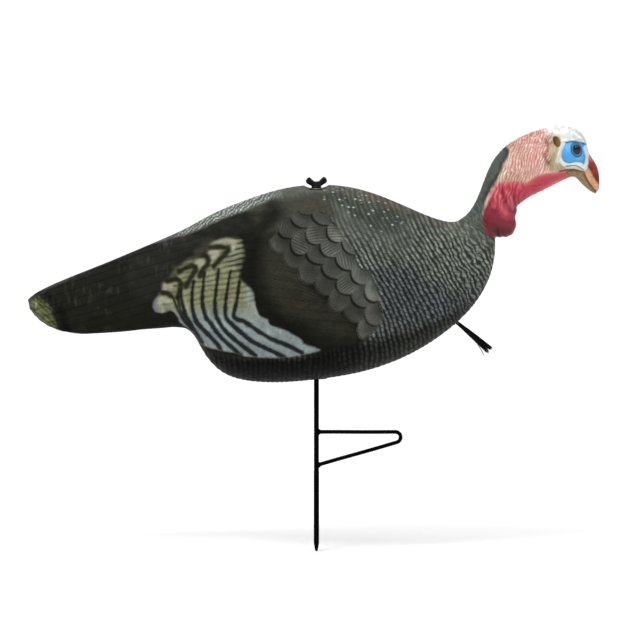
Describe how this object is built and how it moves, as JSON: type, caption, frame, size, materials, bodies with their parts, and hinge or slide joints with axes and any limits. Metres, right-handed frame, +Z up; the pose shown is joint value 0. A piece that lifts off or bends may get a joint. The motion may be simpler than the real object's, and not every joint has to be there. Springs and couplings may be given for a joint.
{
  "type": "turkey decoy",
  "caption": "Life-size hollow moulded turkey decoy on a step-in ground stake, with a turning body and head, a pull-out beard and a wing nut on its back.",
  "frame": {"origin": "on the stake's axis at the top of the ground spike, just below the step loop", "axes": "+X towards the beak, +Y to the bird's left, +Z up along the stake"},
  "size_m": [0.7999, 0.2436, 0.5971],
  "materials": {
    "black_coat": "satin powder coat over steel",
    "zinc_plate": "zinc plated",
    "nut_coat": "gloss black coat over cast zinc",
    "black_nylon": "moulded nylon",
    "body_paint": "airbrushed moulded feathers over blow-moulded plastic",
    "soft_rubber": "matt",
    "head_paint": "airbrushed white, pink, red and blue over moulded skin folds",
    "eye_gloss": "clear gloss over black",
    "bristle_fibre": "loose nylon bristles"
  },
  "bodies": {
    "stake": {"stake_rod": "black_coat", "step_loop": "black_coat", "loop_welds": "black_coat", "lock_nut": "zinc_plate", "support_washer": "zinc_plate"},
    "decoy_body": {"body_shell_left": "body_paint", "body_shell_right": "body_paint", "back_bush": "black_nylon", "back_plate": "black_nylon", "belly_grommet": "soft_rubber", "neck_collar": "black_nylon", "beard_grommet": "soft_rubber"},
    "head": {"head_shell": "head_paint", "eye_left": "eye_gloss", "eye_right": "eye_gloss", "neck_plug": "black_nylon"},
    "beard": {"beard_plug": "black_nylon", "beard_bristles": "bristle_fibre"},
    "nut_washer": {"captive_washer": "zinc_plate"},
    "wing_nut": {"wing_nut": "nut_coat"}
  },
  "joints": [
    {"name": "body_swivel", "type": "hinge", "parent": "stake", "child": "decoy_body", "pos_m": [0, 0, 0.39], "axis": [0, 0, 1], "continuous": true},
    {"name": "head_turn", "type": "hinge", "parent": "decoy_body", "child": "head", "pos_m": [0.2262, 0, 0.3409], "axis": [0.5069, 0, 0.862], "range_deg": [-90, 90]},
    {"name": "beard_pull", "type": "slide", "parent": "decoy_body", "child": "beard", "axis": [0.7848, 0, -0.6198], "range_m": [0, 0.022]},
    {"name": "wing_nut_rise", "type": "slide", "parent": "stake", "child": "nut_washer", "axis": [0, 0, 1], "range_m": [0, 0.00762]},
    {"name": "wing_nut_turn", "type": "hinge", "parent": "nut_washer", "child": "wing_nut", "pos_m": [0, 0, 0.4], "axis": [0, 0, 1], "range_deg": [0, 2160]}
  ],
  "couplings": [
    {"joint": "wing_nut_turn", "follows": "wing_nut_rise", "rad_per_m": 4947.4}
  ]
}
